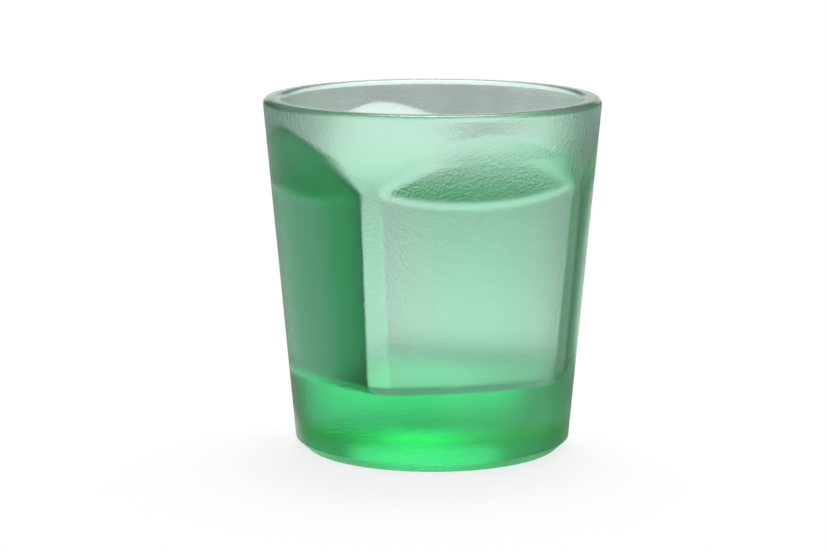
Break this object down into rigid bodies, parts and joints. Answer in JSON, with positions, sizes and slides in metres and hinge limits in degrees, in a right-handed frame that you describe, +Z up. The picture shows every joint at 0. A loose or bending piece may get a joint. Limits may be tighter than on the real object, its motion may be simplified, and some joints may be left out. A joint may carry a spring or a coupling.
{
  "type": "drinking glass",
  "caption": "Short tapered tumbler of satin green glass with a round mouth, four sloping shoulders over a square well, a thick solid base and a rounded lip.",
  "frame": {"origin": "centre of the underside, on the surface that the glass stands on", "axes": "+Z up along the round taper's axis; +X and +Y square to the flats of the well"},
  "size_m": [0.0836, 0.0836, 0.088],
  "materials": {
    "satin_green_glass": "satin"
  },
  "bodies": {
    "root": {"tumbler": "satin_green_glass"}
  },
  "joints": []
}
